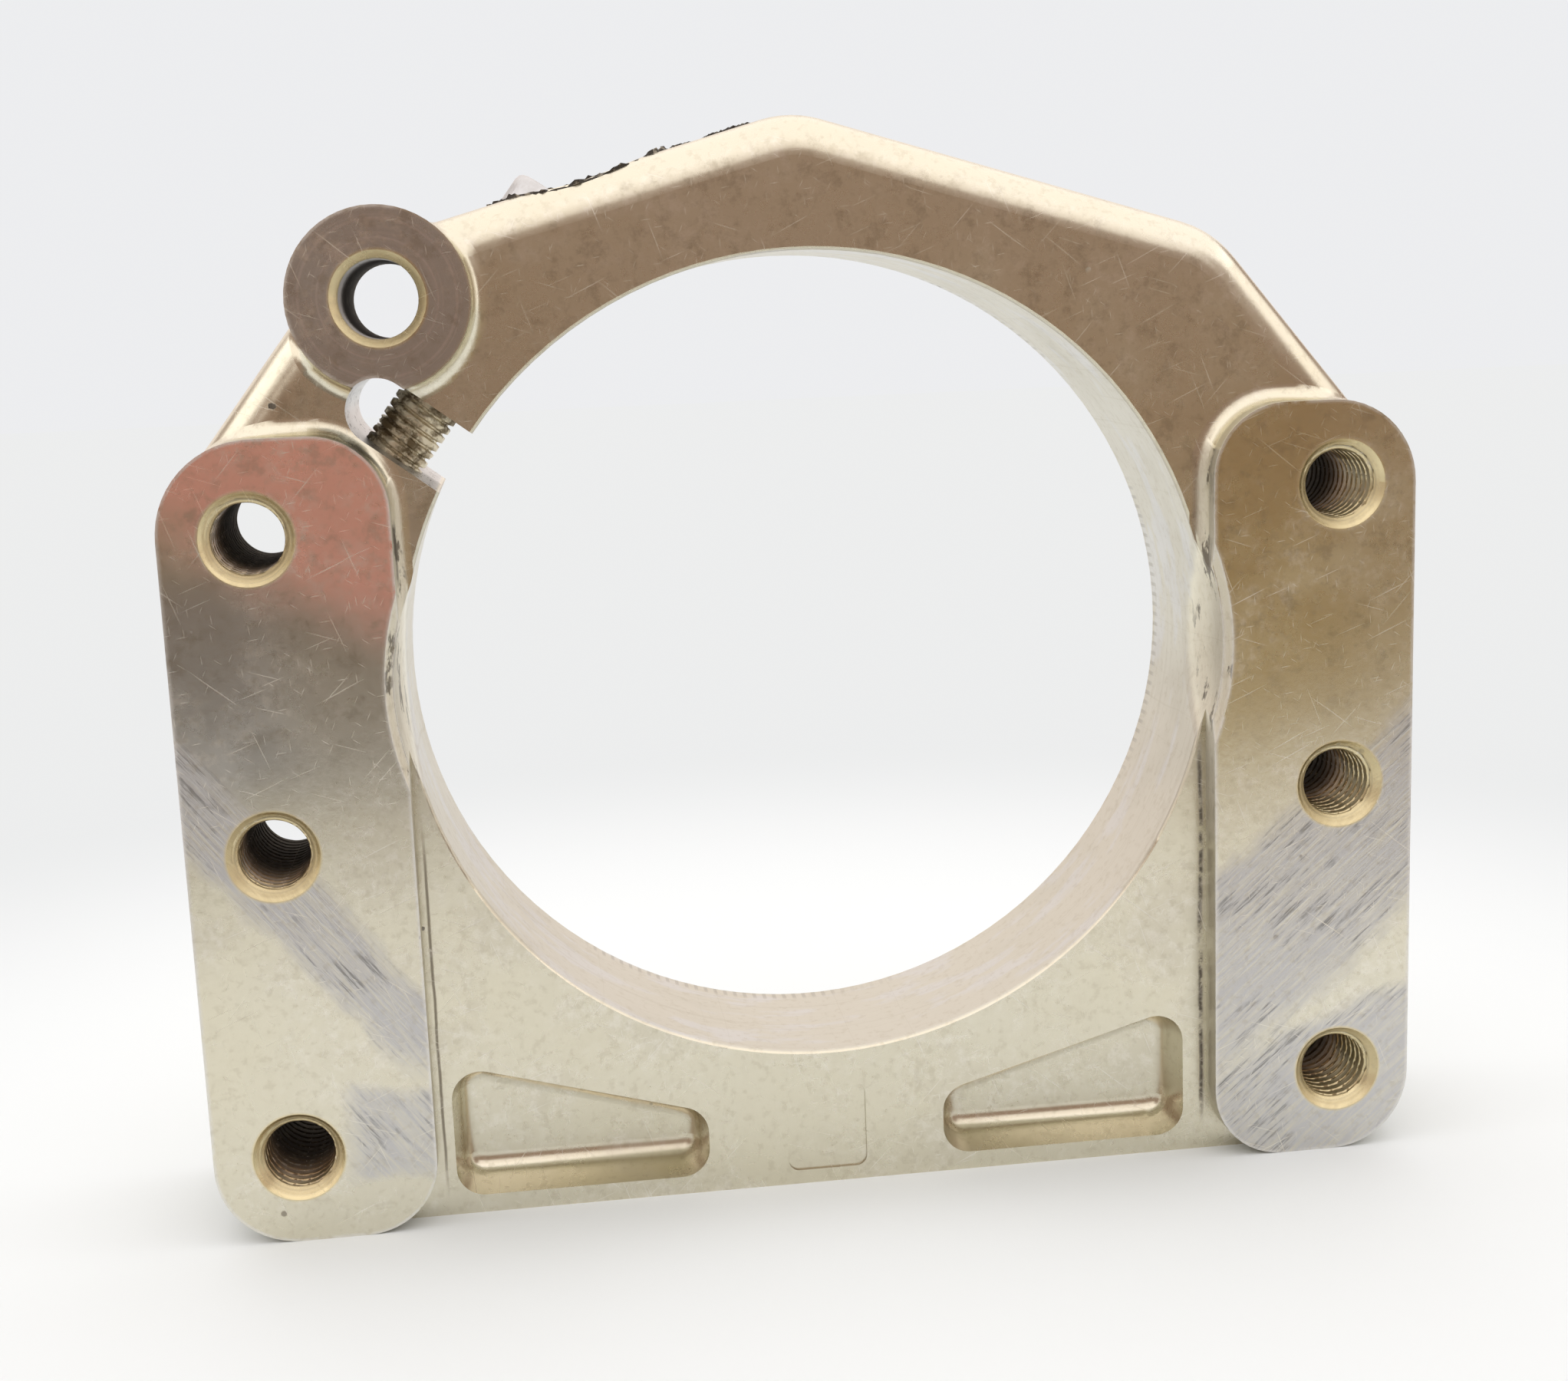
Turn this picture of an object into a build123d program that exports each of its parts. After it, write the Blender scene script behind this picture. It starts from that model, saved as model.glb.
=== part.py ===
from build123d import *
import math
import os

# Split clamp bracket: one aluminium casting with a large clamping bore, closed by one cap screw
# across a pinch slot. X is right, Y is away from the front, Z is up. The bore's axis is the Y axis
# and the flat back face is at Y = 0.

# ---- casting ----
DEPTH = 26.8            # back face to the front of the pads
PAD_RISE = 3.8          # pads and boss stand this far above the web
WEB = DEPTH - PAD_RISE  # thickness of the web
BORE_D = 100.0
CAST_X = -0.7           # centre line of the raw casting, measured from the bore
HALF_W = 76.2           # half of the overall width
BASE_Z = -67.7          # bottom edge
PEAK_Z = 66.5           # meeting point of the two arms' top lines, before rounding
PEAK_R = 13.0
LEFT_KNEE = (-53.9, 51.8)
RIGHT_KNEE = (52.2, 50.7)
KNEE_R = 14.0
EDGE_R = 5.0            # rounding of the arms' front outer edge
BLEND_R = 2.0           # hollow blend at the foot of the pads and the boss
BORE_CHAMFER = 0.4

# ---- pads ----
PAD_INNER_L = -50.0
PAD_INNER_R = 49.7
PAD_TOP_L = 30.8
PAD_TOP_R = 29.6
PAD_CORNER_L = 11.5
PAD_CORNER_R = 10.5
PAD_CORNER_IN = 9.0
PAD_FOOT_R = 10.0
RELIEF_R = 33.9         # arc that relieves the pads beside the bore, at the pads' front
RELIEF_X = 17.3
RELIEF_END = 14.0       # depth at which the relief runs out into the bore
RELIEF_CHAMFER = 0.9

# ---- tapped holes, M10 x 1.5, right through ----
TAPPED_D = 10.0         # wall at the thread's major diameter
TAP_MOUTH_D = 11.1
HOLE_HALF_PITCH_X = 66.3
HOLE_MID_X = -0.3
HOLE_TOP_Z = 19.2
HOLE_PITCH_Z = 38.0

# ---- boss ----
BOSS_X = -49.6
BOSS_Z = 46.1
BOSS_D = 21.2
BOSS_HOLE_D = 9.2
BOSS_MOUTH_D = 11.1

# ---- pinch slot and clamp screw, M8 x 1.25 ----
SCREW_ANGLE = 52.5      # screw axis above the horizontal
SCREW_OFFSET = 56.2     # bore axis to screw axis
SCREW_Y = -DEPTH / 2
SLOT_W = 8.0
SLOT_MID = -4.5         # slot's middle plane, along the screw from the foot of the offset
SLOT_END = 60.3         # bore axis to the centre of the slot's round end
THREAD_D = 8.0
SCREW_LEN = 40.0
HEAD_D = 13.0
HEAD_H = 8.0
HEAD_EDGE_R = 0.8
HEX_AF = 6.0
HEX_DEEP = 4.0
TIP_CHAMFER = 0.8
HEAD_TOP = 28.4         # top of the head, along the screw
WASHER_T = 2.0
WASHER_D = 12.7
WASHER_GAP = 0.7
RUNNING = 0.05          # radial clearance of the screw in its tapped hole
WASHER_FIT = 0.08       # radial clearance of the washer on the screw
SHANK_HOLE_D = THREAD_D + 1.0
HEAD_POCKET_D = HEAD_D + 1.0
TAP_RUNOUT = 0.6        # tapped hole beyond the screw's tip
DRILL_CONE = 2.0

# ---- lightening pockets and blank panel ----
POCKET_IN_X = 15.2      # inner end, from the casting's centre line
POCKET_OUT_X = 47.2
POCKET_LOW_Z = -65.4
POCKET_IN_Z = -56.9     # upper edge at the inner end
POCKET_OUT_Z = -47.9    # upper edge at the outer end
POCKET_DEEP = 5.7
POCKET_DRAFT = 14.0
POCKET_CORNER_R = 3.6
POCKET_FLOOR_R = 2.4
PANEL_W = 10.2
PANEL_H = 11.2
PANEL_Z = -60.3
PANEL_DEEP = 0.35
PANEL_R = 1.4

LEFT = CAST_X - HALF_W
RIGHT = CAST_X + HALF_W
HEAD_UNDER = HEAD_TOP - HEAD_H
SEAT = HEAD_UNDER - WASHER_T
TIP = HEAD_UNDER - SCREW_LEN
A = math.radians(SCREW_ANGLE)


def along(out, up):
    """Point in the clamp's own directions: out from the bore, up along the screw."""
    x = -math.sin(A) * out + math.cos(A) * up
    z = math.cos(A) * out + math.sin(A) * up
    return (x, SCREW_Y, z)


def rounded(corners):
    """Flat face through the corners (x, z, radius)."""
    face = make_face(Polyline(*[(x, z) for x, z, r in corners], close=True)).face()
    for x, z, r in corners:
        if r > 0:
            face = face.fillet_2d(r, [face.vertices().sort_by_distance((x, z, 0))[0]])
    return face


def front(face, back_y, front_y, taper=0.0):
    """Extrude a front-view face from back_y towards the viewer."""
    base = Plane(origin=(0, back_y, 0), x_dir=(1, 0, 0), z_dir=(0, -1, 0))
    return extrude(base * face, amount=back_y - front_y, taper=taper)


def rod(x, z, d, y0, y1, d1=None):
    """Cylinder or cone along Y between y0 and y1 (y1 nearer the viewer)."""
    spot = Plane(origin=(x, y0, z), x_dir=(1, 0, 0), z_dir=(0, -1, 0))
    low = (Align.CENTER, Align.CENTER, Align.MIN)
    if d1 is None:
        return spot * Cylinder(d / 2, y0 - y1, align=low)
    return spot * Cone(d / 2, d1 / 2, y0 - y1, align=low)


def screw_rod(d, up0, up1, d1=None):
    """Cylinder or cone on the screw's axis between two stations."""
    spot = Plane(origin=along(SCREW_OFFSET, up0), x_dir=(0, 1, 0), z_dir=(math.cos(A), 0, math.sin(A)))
    low = (Align.CENTER, Align.CENTER, Align.MIN)
    if d1 is None:
        return spot * Cylinder(d / 2, up1 - up0, align=low)
    return spot * Cone(d / 2, d1 / 2, up1 - up0, align=low)


def web_outline(side):
    """Web's front view. Side 1 is true on the right, side -1 is the left half turned over."""
    far = KNEE_R if side > 0 else 0
    pts = [
        (LEFT + 3.0, BASE_Z, 0), (LEFT + 3.0, 26.4, 0), (*LEFT_KNEE, 0), (0, PEAK_Z, PEAK_R),
        (*RIGHT_KNEE, far), (RIGHT - 2.2, 24.9, 0), (RIGHT - 2.2, BASE_Z, 0),
    ]
    if side > 0:
        return rounded(pts)
    return rounded([(-x, z, r) for x, z, r in reversed(pts)])


def web_solid(side):
    solid = front(web_outline(side), 0, -WEB)
    rim = [e for e in solid.edges() if abs(e.center().Y + WEB) < 0.001 and e.center().Z > 30]
    return fillet(rim, EDGE_R)


def foot_edges(solid, test):
    """Inside edges where a raised feature meets the web's front."""
    found = []
    for e in solid.edges():
        box = e.bounding_box()
        if box.min.Y > -DEPTH + 0.01 and box.max.Y < -WEB + EDGE_R + 0.02 and test(e.center()):
            found.append(e)
    return found


def pad(inner, outer, top, corner):
    return front(rounded([
        (outer, BASE_Z, PAD_FOOT_R), (outer, top, corner),
        (inner, top, PAD_CORNER_IN), (inner, BASE_Z, PAD_CORNER_IN),
    ]), 0, -DEPTH)


def make_body():
    # each half: web, pad and the hollow blend at the pad's foot
    halves = []
    for side, inner, outer, top, corner in (
        (1, PAD_INNER_R, RIGHT, PAD_TOP_R, PAD_CORNER_R),
        (-1, -PAD_INNER_L, -LEFT, PAD_TOP_L, PAD_CORNER_L),
    ):
        block = pad(inner, outer, top, corner)
        half = fillet(foot_edges(web_solid(side) + block, lambda c: c.X > 49 and 22 < c.Z < 31.8), BLEND_R)
        # below the bore's level the pad meets the web square, with no blend
        trim = Pos(inner + 2, -WEB - DEPTH / 2, BASE_Z) * Box(20, DEPTH, -2 * BASE_Z)
        foot = Pos(outer, -DEPTH / 2, BASE_Z) * Box(2 * PAD_FOOT_R, 2 * DEPTH, 2 * PAD_FOOT_R)
        half = half - (trim - block) - (foot - block)
        keep = Pos(HALF_W, 0, 0) * Box(2 * HALF_W, 3 * DEPTH, 3 * HALF_W)
        half = half & keep
        halves.append(half if side > 0 else mirror(half, about=Plane.YZ))
    solid = halves[0] + halves[1] + rod(BOSS_X, BOSS_Z, BOSS_D, 0, -DEPTH)
    near = (BOSS_D / 2 + 0.3) ** 2
    solid = fillet(foot_edges(solid, lambda c: (c.X - BOSS_X) ** 2 + (c.Z - BOSS_Z) ** 2 < near), BLEND_R)
    # clamping bore, chamfered at the front
    cut = rod(0, 0, BORE_D, 1, -DEPTH - 1)
    cut = cut + rod(0, 0, BORE_D, -WEB + BORE_CHAMFER, -WEB, BORE_D + 2 * BORE_CHAMFER)
    # relief beside the bore in both pads
    lean = RELIEF_R + RELIEF_X - BORE_D / 2
    for side in (-1, 1):
        x = side * RELIEF_X
        cut = cut + rod(x, 0, 2 * (RELIEF_R - lean), -DEPTH + RELIEF_END, -DEPTH, 2 * RELIEF_R)
        wide = 2 * (RELIEF_R + RELIEF_CHAMFER)
        cut = cut + rod(x, 0, 2 * RELIEF_R, -DEPTH + RELIEF_CHAMFER, -DEPTH, wide)
    solid = solid - cut
    # pinch slot with a round end
    mid = along(SLOT_END / 2 + 20, SLOT_MID)
    turn = Plane(origin=(mid[0], -DEPTH / 2, mid[2]), x_dir=(-math.sin(A), 0, math.cos(A)), z_dir=(0, -1, 0))
    solid = solid - turn * Box(SLOT_END - 40, SLOT_W, DEPTH + 2)
    end = along(SLOT_END, SLOT_MID)
    solid = solid - rod(end[0], end[2], SLOT_W, 1, -DEPTH - 1)
    # screw's plain hole, head pocket and tapped hole
    solid = solid - screw_rod(SHANK_HOLE_D, SLOT_MID, SEAT + 1)
    solid = solid - screw_rod(HEAD_POCKET_D, SEAT, HEAD_TOP + 22)
    low = TIP - TAP_RUNOUT
    solid = solid - screw_rod(THREAD_D + 2 * RUNNING, low, SLOT_MID)
    solid = solid - screw_rod(1.0, low - DRILL_CONE, low, THREAD_D - 1.2)
    # six tapped holes
    flare = (TAP_MOUTH_D - TAPPED_D) / 2
    for side in (-1, 1):
        for row in range(3):
            x = HOLE_MID_X + side * HOLE_HALF_PITCH_X
            z = HOLE_TOP_Z - row * HOLE_PITCH_Z
            solid = solid - rod(x, z, TAPPED_D, 1, -DEPTH - 1)
            solid = solid - rod(x, z, TAPPED_D, -DEPTH + flare, -DEPTH, TAP_MOUTH_D)
            solid = solid - rod(x, z, TAP_MOUTH_D, 0, -flare, TAPPED_D)
    # boss hole
    flare = (BOSS_MOUTH_D - BOSS_HOLE_D) / 2
    solid = solid - rod(BOSS_X, BOSS_Z, BOSS_HOLE_D, 1, -DEPTH - 1)
    solid = solid - rod(BOSS_X, BOSS_Z, BOSS_HOLE_D, -DEPTH + flare, -DEPTH, BOSS_MOUTH_D)
    solid = solid - rod(BOSS_X, BOSS_Z, BOSS_MOUTH_D, 0, -flare, BOSS_HOLE_D)
    # lightening pockets, drafted, with a rounded floor
    for side in (-1, 1):
        corners = [
            (CAST_X + side * POCKET_IN_X, POCKET_LOW_Z, POCKET_CORNER_R),
            (CAST_X + side * POCKET_OUT_X, POCKET_LOW_Z, POCKET_CORNER_R),
            (CAST_X + side * POCKET_OUT_X, POCKET_OUT_Z, POCKET_CORNER_R),
            (CAST_X + side * POCKET_IN_X, POCKET_IN_Z, POCKET_CORNER_R),
        ]
        sink = Plane(origin=(0, -WEB, 0), x_dir=(1, 0, 0), z_dir=(0, -1, 0))
        tool = extrude(sink * rounded(corners), amount=-POCKET_DEEP, taper=POCKET_DRAFT)
        floor = [e for e in tool.edges() if abs(e.center().Y + WEB - POCKET_DEEP) < 0.01]
        solid = solid - fillet(floor, POCKET_FLOOR_R)
    # blank panel between them
    w = PANEL_W / 2
    h = PANEL_H / 2
    panel = rounded([
        (CAST_X - w, PANEL_Z - h, PANEL_R), (CAST_X + w, PANEL_Z - h, PANEL_R),
        (CAST_X + w, PANEL_Z + h, PANEL_R), (CAST_X - w, PANEL_Z + h, PANEL_R),
    ])
    solid = solid - front(panel, -WEB + PANEL_DEEP, -WEB - 1)
    return solid


def make_screw():
    shank = screw_rod(THREAD_D, TIP + TIP_CHAMFER, HEAD_UNDER + 0.5)
    point = screw_rod(THREAD_D - 2 * TIP_CHAMFER, TIP, TIP + TIP_CHAMFER, THREAD_D)
    head = screw_rod(HEAD_D, HEAD_UNDER, HEAD_TOP)
    ends = head.edges().filter_by(GeomType.CIRCLE).sort_by_distance(along(SCREW_OFFSET, HEAD_TOP))
    head = fillet(ends[:1], HEAD_EDGE_R)
    spot = Plane(origin=along(SCREW_OFFSET, HEAD_TOP - HEX_DEEP), x_dir=(0, 1, 0), z_dir=(math.cos(A), 0, math.sin(A)))
    key = extrude(spot * RegularPolygon(HEX_AF / math.sqrt(3), 6), amount=HEX_DEEP + 1)
    return shank + point + head - key


def make_washer():
    ring = screw_rod(WASHER_D, SEAT, HEAD_UNDER) - screw_rod(THREAD_D + 2 * WASHER_FIT, SEAT - 1, HEAD_UNDER + 1)
    mid = along(SCREW_OFFSET, (SEAT + HEAD_UNDER) / 2)
    spot = Plane(origin=mid, x_dir=(0, 1, 0), z_dir=(math.cos(A), 0, math.sin(A)))
    split = Pos(-WASHER_D / 2, 0, 0) * Rot(25, 0, 0) * Box(WASHER_D, WASHER_GAP, 3 * WASHER_T)
    return ring - spot * split


os.makedirs("parts", exist_ok=True)
NODES = {"clamp_body": make_body(), "clamp_screw": make_screw(), "lock_washer": make_washer()}
for name, shape in NODES.items():
    export_step(shape, f"parts/{name}.step")
    box = shape.bounding_box()
    print(name, len(shape.solids()), round(shape.volume), shape.is_valid, box.min, box.max)
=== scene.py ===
import math
import random

import bpy
from mathutils import Matrix, Vector, noise


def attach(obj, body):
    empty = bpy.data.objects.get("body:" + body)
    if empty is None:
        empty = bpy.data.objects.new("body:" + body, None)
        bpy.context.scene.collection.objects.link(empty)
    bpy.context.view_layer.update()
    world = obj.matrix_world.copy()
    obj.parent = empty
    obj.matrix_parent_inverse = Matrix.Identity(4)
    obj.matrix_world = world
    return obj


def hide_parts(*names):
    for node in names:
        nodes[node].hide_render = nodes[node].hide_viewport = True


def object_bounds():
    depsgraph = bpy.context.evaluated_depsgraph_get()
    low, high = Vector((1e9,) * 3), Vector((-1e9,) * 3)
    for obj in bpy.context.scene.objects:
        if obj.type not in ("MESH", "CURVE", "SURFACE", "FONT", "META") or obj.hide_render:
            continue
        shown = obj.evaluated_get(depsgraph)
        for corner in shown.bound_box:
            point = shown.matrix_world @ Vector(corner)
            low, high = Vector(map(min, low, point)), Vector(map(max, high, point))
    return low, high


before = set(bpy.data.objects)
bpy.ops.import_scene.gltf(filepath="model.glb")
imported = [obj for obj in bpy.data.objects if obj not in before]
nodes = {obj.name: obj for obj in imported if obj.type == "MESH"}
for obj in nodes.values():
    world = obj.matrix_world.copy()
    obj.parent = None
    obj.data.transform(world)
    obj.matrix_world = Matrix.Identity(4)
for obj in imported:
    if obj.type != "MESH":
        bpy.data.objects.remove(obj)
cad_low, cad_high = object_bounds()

MM = 0.001
TAU = 2 * math.pi

# ---------- sizes shared with the casting, in mm ----------
DEPTH = -cad_low.y / MM                 # front of the pads to the back face
PAD_RISE = 3.8                          # pads stand this far in front of the web
HOLE_COLUMNS = {"left": -66.6, "right": 66.0}
HOLE_ROWS = {"top": 19.2, "middle": -18.8, "bottom": -56.8}
M10_PITCH = 1.5
MOUTH_R = 5.55                          # chamfered mouth of a tapped hole
M8_PITCH = 1.25
BOSS = (-49.6, 46.1)                    # centre of the boss
BOSS_R = 10.6
BORE_R = 50.0
SLOT_MID = -4.5                         # middle of the slot along the screw's axis
SLOT_WIDTH = 8.0
SCREW_ANGLE = math.radians(52.5)
SCREW_OFFSET = 56.2                     # the screw's axis to the bore's axis
SCREW_Y = -13.4
HEAD_UNDER = 20.4
HEAD_TOP = 28.4
TIP = -19.6
POCKET_R = 7.0

rng = random.Random(7)


# ---------- shader maths ----------
class Sock:
    """A node socket that adds Math nodes when it is used in a sum."""

    def __init__(self, tree, socket):
        self.tree, self.socket = tree, socket

    def _math(self, op, *values, clamp=False):
        return self.tree.node("ShaderNodeMath", {"operation": op, "use_clamp": clamp}, *values)[0]

    def __add__(self, other):
        return self._math("ADD", self, other)

    def __radd__(self, other):
        return self._math("ADD", other, self)

    def __sub__(self, other):
        return self._math("SUBTRACT", self, other)

    def __rsub__(self, other):
        return self._math("SUBTRACT", other, self)

    def __mul__(self, other):
        return self._math("MULTIPLY", self, other)

    def __rmul__(self, other):
        return self._math("MULTIPLY", other, self)

    def __truediv__(self, other):
        return self._math("DIVIDE", self, other)

    def __pow__(self, other):
        return self._math("POWER", self, other)

    def clip(self):
        return self._math("MULTIPLY", self, 1.0, clamp=True)

    def least(self, other):
        return self._math("MINIMUM", self, other)

    def most(self, other):
        return self._math("MAXIMUM", self, other)

    def step(self, low, high):
        """0 below low, 1 above high and smooth between; low may be the higher one."""
        settings = {"interpolation_type": "SMOOTHSTEP"}
        if low < high:
            return self.tree.node("ShaderNodeMapRange", settings, self, low, high, 0.0, 1.0)[0]
        return self.tree.node("ShaderNodeMapRange", settings, self, high, low, 1.0, 0.0)[0]

    def size(self):
        return self._math("ABSOLUTE", self)

    def sine(self):
        return self._math("SINE", self)


class Finish:
    """One material's node tree, with short names for what it is made from."""

    def __init__(self, name):
        self.material = bpy.data.materials.new(name)
        self.material.use_nodes = True
        self.tree = self.material.node_tree
        self.shader = self.tree.nodes["Principled BSDF"]
        self.place = self.node("ShaderNodeTexCoord", {})[3]      # object coordinates, metres
        parts = self.node("ShaderNodeSeparateXYZ", {}, self.place)
        self.x, self.y, self.z = (p * (1 / MM) for p in parts)    # in mm
        self.facing = self.node("ShaderNodeSeparateXYZ", {},
                                self.node("ShaderNodeNewGeometry", {})[1])

    def node(self, kind, settings, *values, **named):
        made = self.tree.nodes.new(kind)
        for key, value in settings.items():
            if key == "stops":
                self._stops(made.color_ramp, value)
            else:
                setattr(made, key, value)
        live = [s for s in made.inputs if s.enabled]
        pairs = list(zip(live, values))
        pairs += [(next(s for s in live if s.name == key.replace("_", " ")), value)
                  for key, value in named.items()]
        for socket, value in pairs:
            if isinstance(value, Sock):
                self.tree.links.new(value.socket, socket)
            elif value is not None:
                socket.default_value = value
        return [Sock(self, s) for s in made.outputs if s.enabled]

    @staticmethod
    def _stops(ramp, stops):
        while len(ramp.elements) < len(stops):
            ramp.elements.new(0.5)
        for element, (place, colour) in zip(ramp.elements, stops):
            element.position = place
            element.color = (*colour, 1)

    def stretched(self, scale, turn=(0, 0, 0)):
        """Object coordinates turned and then stretched, for streaks and grain."""
        turned = self.node("ShaderNodeVectorRotate", {"rotation_type": "EULER_XYZ"},
                           self.place, Rotation=turn)[0]
        return self.node("ShaderNodeVectorMath", {"operation": "MULTIPLY"}, turned, scale)[0]

    def angle_round_bore(self, x, z):
        """Angle round the bore's axis, in radians."""
        return self.node("ShaderNodeMath", {"operation": "ARCTAN2"}, z, x)[0]

    def noise(self, scale, detail=4.0, rough=0.55, at=None, warp=0.0):
        return self.node("ShaderNodeTexNoise", {}, Vector=at or self.place, Scale=scale,
                         Detail=detail, Roughness=rough, Distortion=warp)[0]

    def cells(self, scale, at=None, feature="F1"):
        return self.node("ShaderNodeTexVoronoi", {"feature": feature}, Vector=at or self.place,
                         Scale=scale)[0]

    def mix(self, share, first, second, blend="MIX"):
        made = self.tree.nodes.new("ShaderNodeMix")
        made.data_type, made.blend_type = "RGBA", blend
        for name, value in (("Factor_Float", share), ("A_Color", first), ("B_Color", second)):
            socket = next(s for s in made.inputs if s.identifier == name)
            if isinstance(value, Sock):
                self.tree.links.new(value.socket, socket)
            else:
                socket.default_value = (*value, 1) if isinstance(value, tuple) else value
        return Sock(self, next(s for s in made.outputs if s.identifier == "Result_Color"))

    def scratches(self, spacing, turn, half_width, stretch=60.0):
        """Fine straight needle marks on faces across Y; spacing and half_width are in mm."""
        across = self.x * (math.cos(turn) / spacing) + self.z * (math.sin(turn) / spacing)
        along = self.z * (math.cos(turn) / spacing) - self.x * (math.sin(turn) / spacing)
        bend = (self.node("ShaderNodeTexNoise", {}, Vector=self.place, Scale=45.0)[0] - 0.5) * 0.5
        spot = self.node("ShaderNodeCombineXYZ", {}, across + bend, along * (1 / stretch), 0.0)[0]
        near = self.node("ShaderNodeTexVoronoi", {"voronoi_dimensions": "2D"}, Vector=spot,
                         Scale=1.0)[0]
        return near.step(half_width / spacing, half_width / spacing * 0.4)

    def link(self, name, value):
        socket = self.shader.inputs[name]
        if isinstance(value, Sock):
            self.tree.links.new(value.socket, socket)
        else:
            socket.default_value = value

    def bump(self, height, depth, strength=1.0, over=None):
        """height runs 0 to 1 and stands for depth in metres."""
        named = {"Strength": strength, "Distance": depth, "Height": height}
        if over is not None:
            named["Normal"] = over
        return self.node("ShaderNodeBump", {}, **named)[0]


def ring_distance(f, x, z, centre):
    """Distance in mm from an axis along Y through centre."""
    dx, dz = x - centre[0], z - centre[1]
    return (dx * dx + dz * dz) ** 0.5


def band(f, value, low, high, soft):
    return value.step(low - soft, low + soft) * value.step(high + soft, high - soft)


# ---------- finishes ----------
CREAM = (0.73, 0.695, 0.575)
STRAW = (0.71, 0.66, 0.50)
# the next three colours are painted reflections on the pads, standing in for the room and bench mirrored there
OLIVE_PAINTED_REFLECTION = (0.66, 0.58, 0.37)
ROSE_PAINTED_REFLECTION = (0.98, 0.52, 0.42)
SMOKE_PAINTED_REFLECTION = (0.60, 0.60, 0.565)
BARE = (0.60, 0.60, 0.60)


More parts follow.
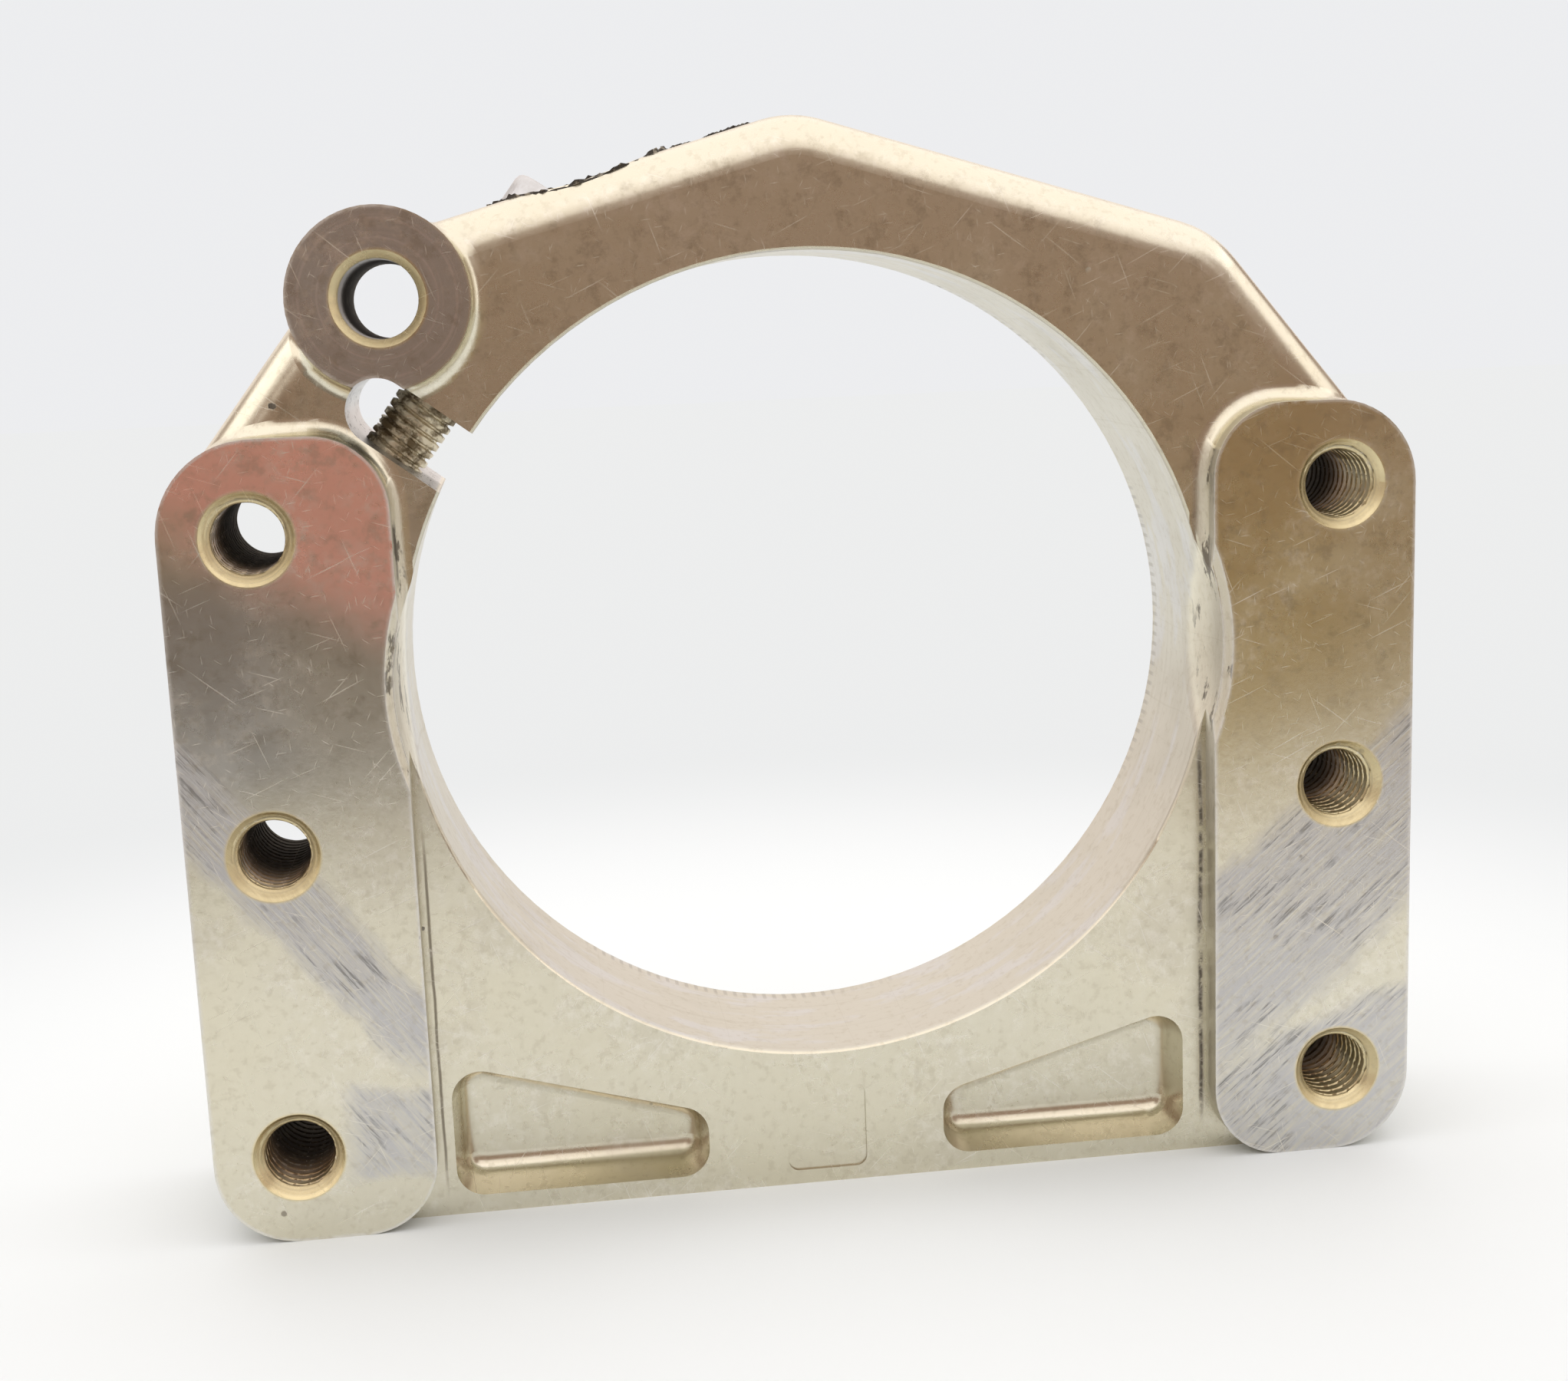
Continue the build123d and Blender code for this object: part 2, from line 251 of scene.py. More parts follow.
def chromated(name, thread=False):
    """Clear yellow passivation over cast aluminium, rubbed bare in places."""
    f = Finish(name)
    x, y, z = f.x, f.y, f.z
    front = (f.facing[1] * -1.0).step(0.75, 0.95)
    broad = f.noise(26.0, 3.0)
    cloud = f.noise(95.0, 5.0, 0.6)
    fine = f.noise(900.0, 3.0, 0.6)

    mottle = cloud.step(0.40, 0.78) * broad.step(0.36, 0.64)
    colour = f.mix((broad * 1.6 - 0.45).clip(), CREAM, STRAW)
    colour = f.mix(mottle * 0.35, colour, (0.66, 0.64, 0.56))
    pad_front = front * y.step(-DEPTH + 1.0, -DEPTH + 0.3)
    left_pad = pad_front * x.step(-48.0, -50.0)
    from_boss = ring_distance(f, x, z, BOSS)
    # painted reflection: rose on the top of the left pad, standing in for the reddish room mirrored there
    left_top_painted_reflection = left_pad * (z + x * 0.55 + 24.0 + cloud * 8.0).step(0.0, 13.0)
    left_top_painted_reflection = left_top_painted_reflection * from_boss.step(BOSS_R, BOSS_R + 0.6) * 0.88
    # painted reflection: grey across the middle of the left pad, deeper towards its outer edge, standing in for
    # the dark bench mirrored there
    left_middle_painted_reflection = left_pad * band(f, z + cloud * 5.0, -9.0, 17.0, 5.0)
    colour = f.mix(left_middle_painted_reflection * (0.45 + x.step(-58.0, -69.0) * 0.5), colour, SMOKE_PAINTED_REFLECTION)
    colour = f.mix(left_top_painted_reflection, colour, ROSE_PAINTED_REFLECTION)
    # painted reflection: olive on the right pad, fading towards its outer edge, standing in for the olive bench
    # mirrored there
    right_pad_painted_reflection = pad_front * x.step(48.0, 50.0) * (z + broad * 26.0).step(-16.0, 14.0)
    colour = f.mix(right_pad_painted_reflection * (0.95 - x.step(58.0, 74.0) * 0.6), colour, OLIVE_PAINTED_REFLECTION)

    # rubbed bands, bare silver with streaks along the rubbing
    wobble = (broad - 0.5) * 16.0 + (cloud - 0.5) * 7.0
    on_left = x.step(-47.0, -51.0) * y.step(-DEPTH + 1.2, -DEPTH + 0.2)
    on_right = x.step(48.5, 50.0) * y.step(-DEPTH + 1.2, -DEPTH + 0.2)
    left_run = x * 1.30 + z + 107.0 + wobble            # falls to the right across the left pad
    left_band = band(f, left_run, -9.0, 4.0, 2.2) * on_left * z.step(-50.0, -42.0)
    left_foot = (band(f, z + wobble, -63.0, -50.0, 1.5) * x.step(-62.0, -58.0)) * on_left
    right_run = x * 0.80 - z - 83.0 + wobble            # rises to the right across the right pad
    right_band = band(f, right_run, -13.0, 12.0, 2.5) * on_right * z.step(0.0, -6.0)
    right_foot = (z + wobble * 0.8 - (x - 62.0) * 0.3).step(-50.0, -54.0) * on_right
    rubbed = (left_band + left_foot * 0.9 + right_band + right_foot).clip()
    streak_left = f.noise(1.0, 4.0, 0.7, at=f.stretched((150.0, 100.0, 2400.0), (0, -0.92, 0)))
    streak_right = f.noise(1.0, 4.0, 0.7, at=f.stretched((150.0, 100.0, 2400.0), (0, 0.72, 0)))
    side = x.step(-1.0, 1.0)
    streak = streak_left * (1.0 - side) + streak_right * side
    rubbed = (rubbed * (streak * 2.6 - 0.45)).clip()
    colour = f.mix(rubbed, colour, BARE)
    smear = rubbed * streak.step(0.52, 0.64) * cloud.step(0.46, 0.58)
    colour = f.mix(smear * 0.75, colour, (0.24, 0.235, 0.22))

    # turned face of the boss
    boss = from_boss.step(BOSS_R + 0.1, BOSS_R - 0.4) * y.step(-DEPTH + 5.2, -DEPTH + 4.2) * front
    rings = f.noise(1.0, 3.0, 0.7, at=f.node("ShaderNodeCombineXYZ", {}, from_boss * 1.25,
                                             0.0, 0.0)[0])
    colour = f.mix(boss * 0.70, colour, (0.50, 0.53, 0.57))
    colour = f.mix(boss * rings.step(0.48, 0.62) * 0.5, colour, (0.74, 0.72, 0.72))

    # machined bore and slot: pale bare metal under a thin coat
    from_bore = ring_distance(f, x, z, (0.0, 0.0))
    bore = from_bore.step(BORE_R + 0.25, BORE_R + 0.05) * (1.0 - front)
    lathe = f.noise(1.0, 3.0, 0.65, at=f.stretched((14.0, 900.0, 14.0)))
    patchy = f.noise(1.0, 3.0, 0.6, at=f.stretched((60.0, 170.0, 60.0)))
    colour = f.mix(bore * 0.75, colour, (0.60, 0.585, 0.52))
    colour = f.mix(bore * patchy.step(0.50, 0.60) * 0.55, colour, (0.66, 0.665, 0.67))
    colour = f.mix(bore * lathe.step(0.54, 0.70) * 0.35, colour, (0.52, 0.49, 0.40))
    swing = f.angle_round_bore(x, z)
    chatter = bore * y.step(-2.6, -1.2) * (swing * 230.0).sine().step(0.1, 0.7)
    chatter = chatter * f.noise(32.0, 2.0).step(0.47, 0.56)
    colour = f.mix(chatter * 0.55, colour, (0.40, 0.38, 0.33))
    # hand-relieved pocket between the bore and each pad, left rough
    relief = (1.0 - front) * band(f, from_bore, BORE_R + 0.3, 56.0, 0.2) * y.step(-10.5, -12.5)
    relief = relief * band(f, x.size(), 42.0, 52.4, 0.4) * z.size().step(26.0, 24.0)
    crust = f.noise(340.0, 5.0, 0.7, at=f.stretched((1.0, 0.9, 0.36)))
    pits = relief * crust.step(0.44, 0.38)
    colour = f.mix(relief * 0.6, colour, (0.70, 0.67, 0.57))
    colour = f.mix(pits * 0.85, colour, (0.13, 0.11, 0.085))

    # outer sides as cast, duller than the machined faces; their colour is also darkened as painted shade on faces
    # turned edge-on to the front, which damps their highlights
    as_cast_sides_and_painted_shade = f.facing[1].size().step(0.30, 0.05) * from_bore.step(BORE_R + 0.5, BORE_R + 1.0)
    colour = f.mix(as_cast_sides_and_painted_shade * 0.75, colour, (0.50, 0.475, 0.40))

    # sawn walls of the slot, grey with dark pits
    out = x * math.cos(SCREW_ANGLE) + z * math.sin(SCREW_ANGLE)
    sawn = f.facing[1].size().step(0.6, 0.3) * band(f, out, SLOT_MID - 4.25, SLOT_MID + 4.25, 0.1) * band(f, x, -57.5, -34.0, 0.5)
    sawn = sawn * from_bore.step(BORE_R + 0.3, BORE_R + 0.7) * z.step(17.0, 19.0)
    saw_pits = f.noise(1.0, 4.0, 0.7, at=f.stretched((1500.0, 900.0, 1500.0)))
    colour = f.mix(sawn * 0.85, colour, (0.63, 0.635, 0.64))
    colour = f.mix(sawn * saw_pits.step(0.58, 0.62) * cloud.step(0.38, 0.50), colour, (0.05, 0.045, 0.04))

    # threads and hole mouths: golden brown at the mouth; the darkening down the hole to near black and the dark
    # thread roots are painted shade
    tapped = None
    for column in HOLE_COLUMNS.values():
        for row in HOLE_ROWS.values():
            reach = ring_distance(f, x, z, (column, row))
            tapped = reach if tapped is None else tapped.least(reach)
    gold = tapped.least(from_boss).step(5.95, 5.5)
    inside = tapped.step(5.3, 5.1).most(from_boss.step(4.90, 4.70))
    deep = (y + DEPTH) - x * 0.045 + (cloud - 0.5) * 3.0
    # painted shade: near black deep inside each hole
    painted_depth_shade = inside * deep.step(6.5, 15.0)
    golden = f.mix(deep.step(2.0, 9.0), (0.74, 0.64, 0.38), (0.33, 0.20, 0.085))
    golden = f.mix(painted_depth_shade, golden, (0.038, 0.029, 0.020))
    # painted shade in the thread roots
    painted_groove_shade = inside * tapped.step(4.5, 4.75) * (y + DEPTH).step(0.7, 1.2)
    golden = f.mix(painted_groove_shade * 0.9, golden, (0.03, 0.02, 0.01))
    colour = f.mix(gold * 0.92, colour, golden)

    # soil: specks in the web; a dark line beside each pad, the slot's end
    specks = f.cells(210.0).step(0.10, 0.06) * f.noise(60.0, 2.0).step(0.60, 0.66)
    right_line = band(f, x + (cloud - 0.5) * 0.9, 48.75, 49.25, 0.22) * band(f, z, -62.0, -14.0, 3.0)
    right_line = right_line * f.noise(420.0, 4.0, 0.7).step(0.36, 0.56)
    left_line = band(f, x + (cloud - 0.5) * 0.5, -49.3, -49.0, 0.12) * band(f, z, -62.0, -20.0, 4.0)
    left_line = left_line.most(band(f, x + (cloud - 0.5) * 0.5, -49.9, -49.7, 0.10)
                               * band(f, z, 13.0, 20.0, 1.0))
    spots = None
    for sx, sz, r in ((-63.0, 34.3, 0.42), (-47.0, -9.0, 0.35), (-50.0, -30.0, 0.3)):
        spot = (ring_distance(f, x, z, (sx, sz)) + (fine - 0.5) * r * 2.4).step(r, r * 0.7)
        spots = spot if spots is None else spots.most(spot)
    seams = (right_line * 0.9).most(left_line * 0.6) * y.step(-14.0, -16.0)
    soil = (specks * 0.55).most(seams).most(spots * front)
    colour = f.mix(soil, colour, (0.055, 0.045, 0.035))

    scratch = None
    for spacing, turn, half_width in ((1.9, 0.35, 0.070), (2.3, -0.75, 0.065), (1.5, 1.25, 0.055),
                                      (2.6, 2.0, 0.080), (1.3, -1.2, 0.050), (3.4, 0.9, 0.095)):
        layer = f.scratches(spacing, turn, half_width, 46.0)
        scratch = layer if scratch is None else scratch.most(layer)
    for spacing, turn, half_width in ((1.3, 0.1, 0.050), (1.1, -0.45, 0.045), (1.5, 1.7, 0.055),
                                      (1.2, 0.95, 0.045)):
        scratch = scratch.most(f.scratches(spacing, turn, half_width, 14.0))
    haze = f.noise(620.0, 6.0, 0.75).step(0.46, 0.66) * cloud.step(0.36, 0.62)
    pale = scratch * front * (cloud.step(0.35, 0.6) * 0.55 + 0.28)
    shade = f.noise(300.0, 6.0, 0.72).step(0.50, 0.66) * front
    colour = f.mix(shade * (z.step(-22.0, 4.0) * 0.34 + 0.06), colour, (0.36, 0.32, 0.24))
    colour = f.mix(haze * front * (1.0 - rubbed) * 0.42, colour, (0.90, 0.87, 0.79))
    # bright pad edges: bare metal where the coat is worn off, and also a painted highlight along the edges
    edge_turn = f.node("ShaderNodeVectorMath", {"operation": "DOT_PRODUCT"},
                       f.node("ShaderNodeBevel", {"samples": 6}, 0.0008)[0],
                       f.node("ShaderNodeNewGeometry", {})[1])[0]
    worn_edge_and_painted_highlight = edge_turn.step(0.998, 0.94) * f.noise(260.0, 4.0, 0.7).step(0.30, 0.50)
    worn_edge_and_painted_highlight = worn_edge_and_painted_highlight * y.step(-DEPTH + 2.2, -DEPTH + 1.2) * x.size().step(46.0, 48.0)
    colour = f.mix(worn_edge_and_painted_highlight * (1.0 - gold) * 0.85, colour, (0.83, 0.83, 0.81))
    colour = f.mix(pale, colour, (0.86, 0.84, 0.76))
    colour = f.mix((fine - 0.52).step(0.0, 0.16) * 0.20, colour, (0.42, 0.37, 0.26))

    rough = 0.225 + mottle * 0.12 + cloud * 0.06 + rubbed * 0.16 + (fine - 0.5) * 0.08 + soil * 0.5
    rough = rough + z.step(26.0, 44.0) * front * (1.0 - boss) * 0.03
    rough = rough + as_cast_sides_and_painted_shade * 0.10 + bore * 0.16 + scratch * 0.12 + relief * 0.25 + painted_depth_shade * 0.65 + worn_edge_and_painted_highlight * 0.15
    grain = f.noise(1500.0, 2.0, 0.5)
    height = grain * 0.35 + fine * 0.65
    normal = f.bump(height, 0.00002, 0.55)
    normal = f.bump(1.0 - scratch * front, 0.00001, 0.2, normal)
    normal = f.bump(streak * rubbed, 0.00004, 0.6, normal)
    normal = f.bump(rings * boss, 0.00004, 0.7, normal)
    normal = f.bump(lathe * bore, 0.00005, 0.5, normal)
    normal = f.bump(crust * relief, 0.0005, 0.7, normal)
    f.link("Base Color", colour)
    f.link("Roughness", rough.clip())
    f.link("Metallic", (1.0 - soil * 0.9 - left_top_painted_reflection * 0.30 - inside * 0.30 - painted_depth_shade * 0.65).clip())
    f.link("Normal", normal)
    return f.material


def steel(name, soiled):
    """Zinc plated steel; its thread, below the head, is greasy and gritty when soiled."""
    f = Finish(name)
    cloud = f.noise(240.0, 5.0, 0.65)
    fine = f.noise(1600.0, 4.0, 0.6)
    out = f.x * math.cos(SCREW_ANGLE) + f.z * math.sin(SCREW_ANGLE)
    below_head = out.step(HEAD_UNDER - 1.0, HEAD_UNDER - 3.0) * soiled
    colour = f.mix(cloud, (0.50, 0.51, 0.52), (0.70, 0.70, 0.69))
    grease = (f.noise(300.0, 5.0, 0.75).step(0.45, 0.60) * (below_head * 0.9 + 0.1)).clip()
    colour = f.mix(below_head * 0.8, colour, (0.76, 0.67, 0.46))
    colour = f.mix(grease, colour, (0.17, 0.125, 0.06))
    grit = f.cells(1100.0).step(0.34, 0.20) * f.noise(420.0).step(0.50, 0.58) * below_head
    colour = f.mix(grit, colour, (0.66, 0.61, 0.47))
    f.link("Base Color", colour)
    f.link("Metallic", (0.95 - below_head * 0.4 - grease * 0.4 - grit * 0.5).clip())
    f.link("Roughness", (0.28 + cloud * 0.16 + grease * 0.25 + grit * 0.2).clip())
    f.link("Normal", f.bump(fine * 0.6 + grit, 0.00008, 0.7))
    return f.material


casting_finish = chromated("chromated_casting_finish")
screw_finish = steel("zinc_plated_steel_finish", 1.0)
washer_finish = steel("zinc_plated_washer_finish", 0.3)


# ---------- mesh helpers ----------
def make_piece(name, points, faces, body, finish, smooth=40.0):
    mesh = bpy.data.meshes.new(name)
    mesh.from_pydata([tuple(c * MM for c in p) for p in points], [], faces)
    mesh.validate()
    mesh.update()
    mesh.materials.append(finish)
    piece = bpy.data.objects.new(name, mesh)
    bpy.context.scene.collection.objects.link(piece)
    mesh.polygons.foreach_set("use_smooth", [True] * len(mesh.polygons))
    mesh.set_sharp_from_angle(angle=math.radians(smooth))
    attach(piece, body)
    return piece


def quads_between(rows, around, closed=True):
    """Quads joining each row of points to the next; each row has around points."""
    faces = []
    for r in range(rows - 1):
        for k in range(around if closed else around - 1):
            n = (k + 1) % around
            faces.append((r * around + k, r * around + n, (r + 1) * around + n, (r + 1) * around + k))
    return faces


def thread_height(turn, crest, root, crest_share):
    """Radius of a thread at turn, which is the place along the pitch from 0 to 1."""
    edge = (1.0 - crest_share) / 2
    slope = 0.30
    t = abs(((turn % 1.0) - 0.5) * 2)                  # 0 in the middle of the crest
    rise = min(1.0, max(0.0, (1.0 - t - edge * 0.4) / slope))
    rise = rise * rise * (3 - 2 * rise)
    return root + (crest - root) * rise


# ---------- threads of the six tapped holes ----------
def tapped_thread(name, column, row):
    """A right-hand inside thread through the casting, opening into the chamfer at each mouth."""
    around, per_pitch = 80, 16
    first, last = -DEPTH + 0.50, -0.50
    root, crest, outside = 5.02, 4.25, 5.16
    steps = int((last - first) / M10_PITCH * per_pitch)
    inner, outer = [], []
    for s in range(steps + 1):
        y = first + (last - first) * s / steps
        mouth = MOUTH_R - min(y + DEPTH, -y)
        for k in range(around):
            a = TAU * k / around
            r = thread_height(y / M10_PITCH + k / around, crest, root, 0.72)
            r += 0.02 * noise.noise((math.cos(a) * 4 + column, y * 1.6, math.sin(a) * 4 + row))
            r = max(r, mouth)
            inner.append((column + r * math.cos(a), y, row + r * math.sin(a)))
    for y in (first, last):
        for k in range(around):
            a = TAU * k / around
            outer.append((column + outside * math.cos(a), y, row + outside * math.sin(a)))
    points = inner + outer
    faces = quads_between(steps + 1, around)
    base = len(inner)
    for k in range(around):
        n = (k + 1) % around
        faces.append((n, k, base + k, base + n))
        top = steps * around
        faces.append((top + k, top + n, base + around + n, base + around + k))
        faces.append((base + n, base + k, base + around + k, base + around + n))
    return make_piece(name, points, faces, "casting", casting_finish, 60.0)


for side, column in HOLE_COLUMNS.items():
    for level, row in HOLE_ROWS.items():
        tapped_thread(f"thread_{side}_{level}", column, row)


# ---------- clamp screw ----------
def on_screw(out, radius, angle):
    """A point at out along the screw's axis, and at radius and angle round it, in mm."""
    sin_a, cos_a = math.sin(SCREW_ANGLE), math.cos(SCREW_ANGLE)
    axis = Vector((cos_a, 0, sin_a))
    across = Vector((-sin_a, 0, cos_a))
    back = Vector((0, 1, 0))
    spot = across * SCREW_OFFSET + axis * out + Vector((0, SCREW_Y, 0))
    return tuple(spot + across * (radius * math.cos(angle)) + back * (radius * math.sin(angle)))


def clamp_screw():
    around, per_pitch = 96, 16
    rows = []
    tip_chamfer, core = 0.8, 3.38
    steps = int((HEAD_UNDER - 1.2 - TIP) / M8_PITCH * per_pitch)
    rows.append([(TIP, 0.001)] * around)
    for s in range(steps + 1):
        out = TIP + (HEAD_UNDER - 1.2 - TIP) * s / steps
        row = []
        for k in range(around):
            r = thread_height(out / M8_PITCH - k / around, 3.96, core, 0.30)
            r = min(r, 3.0 + max(0.0, out - TIP) * 1.0)
            worn = noise.noise((math.cos(TAU * k / around) * 3, math.sin(TAU * k / around) * 3, out * 1.3))
            r -= 0.75 * max(0.0, worn - 0.02) * (1.0 if r > core + 0.1 else 0.3)
            row.append((out, max(r, 3.0 if s == 0 else r)))
        rows.append(row)
    head = [(HEAD_UNDER - 1.15, 3.95), (HEAD_UNDER - 0.25, 4.0), (HEAD_UNDER, 4.3), (HEAD_UNDER, 6.35),
            (HEAD_UNDER + 0.15, 6.45)]
    head_side = [HEAD_UNDER + 0.5 + i * 0.5 for i in range(14)]
    rows += [[p] * around for p in head]
    for i, out in enumerate(head_side):
        fade = min(1.0, i / 1.0, (len(head_side) - 1 - i) / 2.0)
        rows.append([(out, 6.46 - 0.10 * fade * (k % 2)) for k in range(around)])
    rows += [[p] * around for p in ((HEAD_TOP - 0.45, 6.30), (HEAD_TOP - 0.15, 6.0), (HEAD_TOP, 5.6),
                                    (HEAD_TOP, 3.62), (HEAD_TOP - 0.25, 3.42))]
    points = [on_screw(out, r, TAU * k / around) for row in rows for k, (out, r) in enumerate(row)]
    faces = quads_between(len(rows), around)
    # hexagon socket: the last ring drops onto six flats
    last = (len(rows) - 1) * around
    for out in (HEAD_TOP - 0.5, HEAD_TOP - 4.0):
        base = len(points)
        for k in range(around):
            a = TAU * k / around
            flat = 3.0 / math.cos(((a + TAU / 12) % (TAU / 6)) - TAU / 12)
            points.append(on_screw(out, flat, a))
        for k in range(around):
            n = (k + 1) % around
            faces.append((last + k, last + n, base + n, base + k))
        last = base
    centre = len(points)
    points.append(on_screw(HEAD_TOP - 4.9, 0.0, 0.0))
    faces += [(last + k, last + (k + 1) % around, centre) for k in range(around)]
    piece = make_piece("clamp_screw_threaded", points, faces, "screw",
                       screw_finish, 38.0)
    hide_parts("clamp_screw")
    return piece


clamp_screw()


# ---------- torn edges ----------
BURR = None


def burr_finish():
    f = Finish("torn_edge_finish")
    grit = f.noise(900.0, 4.0, 0.7)
    f.link("Base Color", f.mix(grit.step(0.52, 0.66), (0.045, 0.038, 0.03), (0.34, 0.31, 0.25)))
    f.link("Metallic", grit.step(0.50, 0.60) * 0.6)
    f.link("Roughness", 0.85 - grit * 0.3)
    f.link("Normal", f.bump(grit, 0.0002, 0.8))
    return f.material


def ragged_lip(name, spots, outward, width, tall, seed, closed=False):
    """A thin torn ridge along spots on the casting's skin, standing out along outward."""
    draw = random.Random(seed)
    points = []
    count = len(spots)
    for i, spot in enumerate(spots):
        ahead = Vector(spots[(i + 1) % count] if closed or i + 1 < count else spot)
        behind = Vector(spots[i - 1] if closed or i > 0 else spot)
        run = (ahead - behind).normalized()
        side = run.cross(Vector(outward)).normalized()
        end = 1.0 if closed else min(1.0, i / 3, (count - 1 - i) / 3)
        here = noise.noise((spot[0] * 0.55, spot[1] * 0.55 + seed, spot[2] * 0.3)) * 1.6 + 0.45
        high = tall * end * min(1.0, max(0.04, here)) * (0.35 + 0.65 * draw.random())
        lean = (draw.random() - 0.5) * width * 1.2
        base = Vector(spot) - Vector(outward) * 0.12
        points += [tuple(base - side * width / 2), tuple(base + side * width / 2),
                   tuple(base + Vector(outward) * (0.12 + high) + side * (lean + width * 0.12)),
                   tuple(base + Vector(outward) * (0.12 + high) + side * (lean - width * 0.12))]
    faces = []
    for i in range(count if closed else count - 1):
        a, b = i * 4, ((i + 1) % count) * 4
        for k in range(4):
            n = (k + 1) % 4
            faces.append((a + k, b + k, b + n, a + n))
    if not closed:
        faces += [(0, 1, 2, 3), tuple((count - 1) * 4 + k for k in (3, 2, 1, 0))]
    return make_piece(name, points, faces, "casting", BURR, 20.0)


def on_skin(start, direction):
    """Where a line from start, in mm, first meets the casting."""
    hit, place, normal, _ = nodes["clamp_body"].ray_cast(Vector(start) * MM, Vector(direction))
    return (place / MM, normal) if hit else (None, None)


def flash_line(name, first, last, y, tall, seed):
    """Flash along the upper left flank, from x first to x last."""
    steps = int(abs(last - first) / 0.22)
    draw = random.Random(seed)
    spots = []
    for i in range(steps + 1):
        place, normal = on_skin((first + (last - first) * i / steps, y + (draw.random() - 0.5) * 0.3,
                                 90.0), (0, 0, -1))
        if place is not None:
            spots.append(tuple(place))
    ragged_lip(name, spots, (-0.266, 0, 0.964), 0.5, tall, seed)


def pocket_lip():
    """The rim that the head's cutter tore round its pocket."""
    axis = Vector((math.cos(SCREW_ANGLE), 0, math.sin(SCREW_ANGLE)))
    spots = []
    count = 150
    for i in range(count):
        angle = TAU * i / count
        start = Vector(on_screw(60.0, POCKET_R + 0.22, angle))
        place, normal = on_skin(start, -axis)
        if place is not None:
            spots.append(tuple(place))
    ragged_lip("pocket_burr", spots, (-0.266, 0, 0.964), 0.55, 0.6, 5, closed=True)


BURR = burr_finish()
flash_line("flash_upper", -15.5, -4.5, -17.2, 0.40, 3)
pocket_lip()


# ---------- carried-over nodes ----------
def dress(node, finish):
    piece = nodes[node]
    for index in range(max(1, len(piece.material_slots))):
        if piece.material_slots:
            piece.material_slots[index].material = finish
        else:
            piece.data.materials.append(finish)


dress("clamp_body", casting_finish)
dress("lock_washer", washer_finish)


# ---------- studio ----------
def plain_material(name, colour, rough=0.9):
    f = Finish(name)
    f.link("Base Color", (*colour, 1))
    f.link("Roughness", rough)
    return f


def pale_to_camera(f, share):
    """Shows the camera a plain pale surface, by share; the object still mirrors what is there."""
    seen = f.node("ShaderNodeLightPath", {})[0]
    glow = f.tree.nodes.new("ShaderNodeEmission")
    glow.inputs["Color"].default_value = (0.845, 0.85, 0.85, 1)
    blend = f.tree.nodes.new("ShaderNodeMixShader")
    f.tree.links.new((seen * share).socket, blend.inputs[0])
    f.tree.links.new(f.shader.outputs[0], blend.inputs[1])
    f.tree.links.new(glow.outputs[0], blend.inputs[2])
    f.tree.links.new(blend.outputs[0], f.tree.nodes["Material Output"].inputs["Surface"])


def studio_floor():
    """A pale sheet that ends a little in front of the object, where the dark room begins."""
    low_z = cad_low.z
    mesh = bpy.data.meshes.new("floor")
    mesh.from_pydata([(-1.6, -0.24, low_z), (1.6, -0.24, low_z), (1.6, 2.4, low_z), (-1.6, 2.4, low_z)],
                     [], [(0, 1, 2, 3)])
    floor = bpy.data.objects.new("floor", mesh)
    bpy.context.scene.collection.objects.link(floor)
    f = plain_material("floor_sheet", (0.83, 0.895, 0.92))
    f.shader.inputs["Specular IOR Level"].default_value = 0.2
    reach = ((f.x * f.x + (f.y + 10.0) * (f.y + 10.0)) ** 0.5).step(70.0, 260.0)
    pale_to_camera(f, reach)
    mesh.materials.append(f.material)


def studio_world():
    world = bpy.data.worlds.new("studio")
    bpy.context.scene.world = world
    world.use_nodes = True
    tree = world.node_tree
    room = tree.nodes["Background"]
    room.inputs["Color"].default_value = (0.33, 0.222, 0.165, 1)
    room.inputs["Strength"].default_value = 1.0
    pale = tree.nodes.new("ShaderNodeBackground")
    pale.inputs["Color"].default_value = (0.845, 0.85, 0.865, 1)
    path = tree.nodes.new("ShaderNodeLightPath")
    blend = tree.nodes.new("ShaderNodeMixShader")
    tree.links.new(path.outputs["Is Camera Ray"], blend.inputs[0])
    tree.links.new(room.outputs[0], blend.inputs[1])
    tree.links.new(pale.outputs[0], blend.inputs[2])
    tree.links.new(blend.outputs[0], tree.nodes["World Output"].inputs["Surface"])


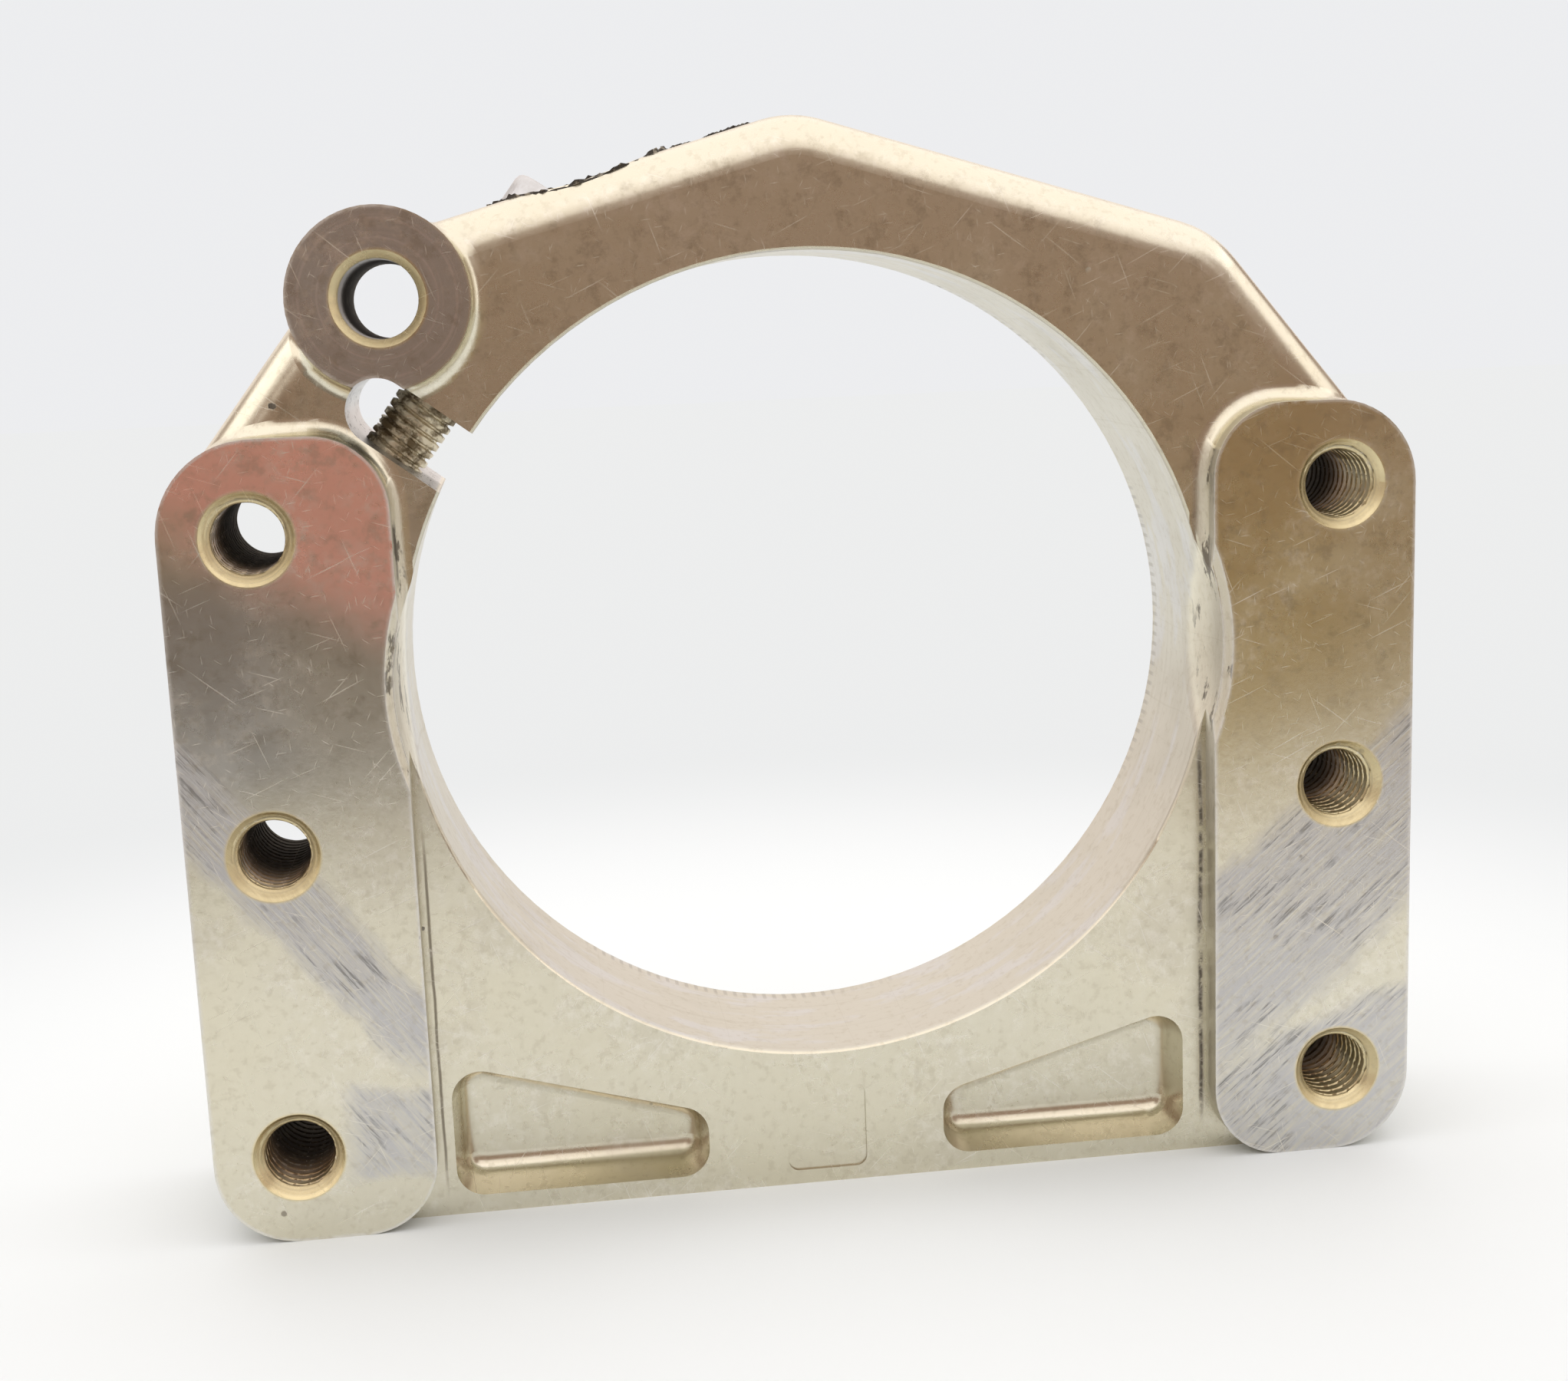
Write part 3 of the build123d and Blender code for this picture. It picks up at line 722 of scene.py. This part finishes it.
def lamp(name, place, target, size, power, colour=(1, 1, 1)):
    data = bpy.data.lights.new(name, "AREA")
    data.shape = "RECTANGLE"
    data.size, data.size_y = size
    data.energy, data.color = power, colour
    made = bpy.data.objects.new(name, data)
    bpy.context.scene.collection.objects.link(made)
    made.location = place
    made.rotation_euler = (Vector(target) - Vector(place)).to_track_quat("-Z", "Y").to_euler()
    return made


def studio_table():
    """The bench beyond the sheet, dark grey on the left and olive on the right."""
    low_z = cad_low.z
    mesh = bpy.data.meshes.new("bench")
    mesh.from_pydata([(-1.2, -0.80, low_z), (1.2, -0.80, low_z), (1.2, -0.24, low_z), (-1.2, -0.24, low_z)],
                     [], [(0, 1, 2, 3)])
    bench = bpy.data.objects.new("bench", mesh)
    bpy.context.scene.collection.objects.link(bench)
    f = Finish("bench_top")
    f.link("Base Color", f.mix(f.x.step(-90.0, 60.0), (0.13, 0.12, 0.10), (0.30, 0.235, 0.12)))
    f.link("Roughness", 0.9)
    pale_to_camera(f, 1.0)
    mesh.materials.append(f.material)


studio_floor()
studio_table()
studio_world()
lamp("overhead", (0.0, 0.12, 0.75), (0, 0.12, 0), (2.4, 1.7), 14.6, (0.985, 1.0, 1.02))
lamp("front_top", (0.0, -1.0, 0.72), (0, 0, 0.02), (2.0, 0.45), 2.6)
lamp("back_wall", (0.0, 1.2, 0.35), (0, 0, 0), (2.0, 0.9), 4.5)
lamp("left_panel", (-0.95, 0.05, 0.25), (0, 0, 0), (0.8, 0.7), 1.9)
lamp("right_panel", (0.95, 0.05, 0.25), (0, 0, 0), (0.8, 0.7), 1.9)

# ---------- camera ----------
camera_data = bpy.data.cameras.new("camera")
camera_data.sensor_width = 36.0
camera_data.lens = 47.5857
camera_data.clip_start = 0.01
camera_data.clip_end = 20.0
camera = bpy.data.objects.new("camera", camera_data)
bpy.context.scene.collection.objects.link(camera)
camera.location = (-0.0341142, -0.2726573, 0.0428012)
camera.rotation_euler = (1.3901210, 0.0391704, -0.1271120)
bpy.context.scene.camera = camera
bpy.context.scene.view_settings.view_transform = "Standard"
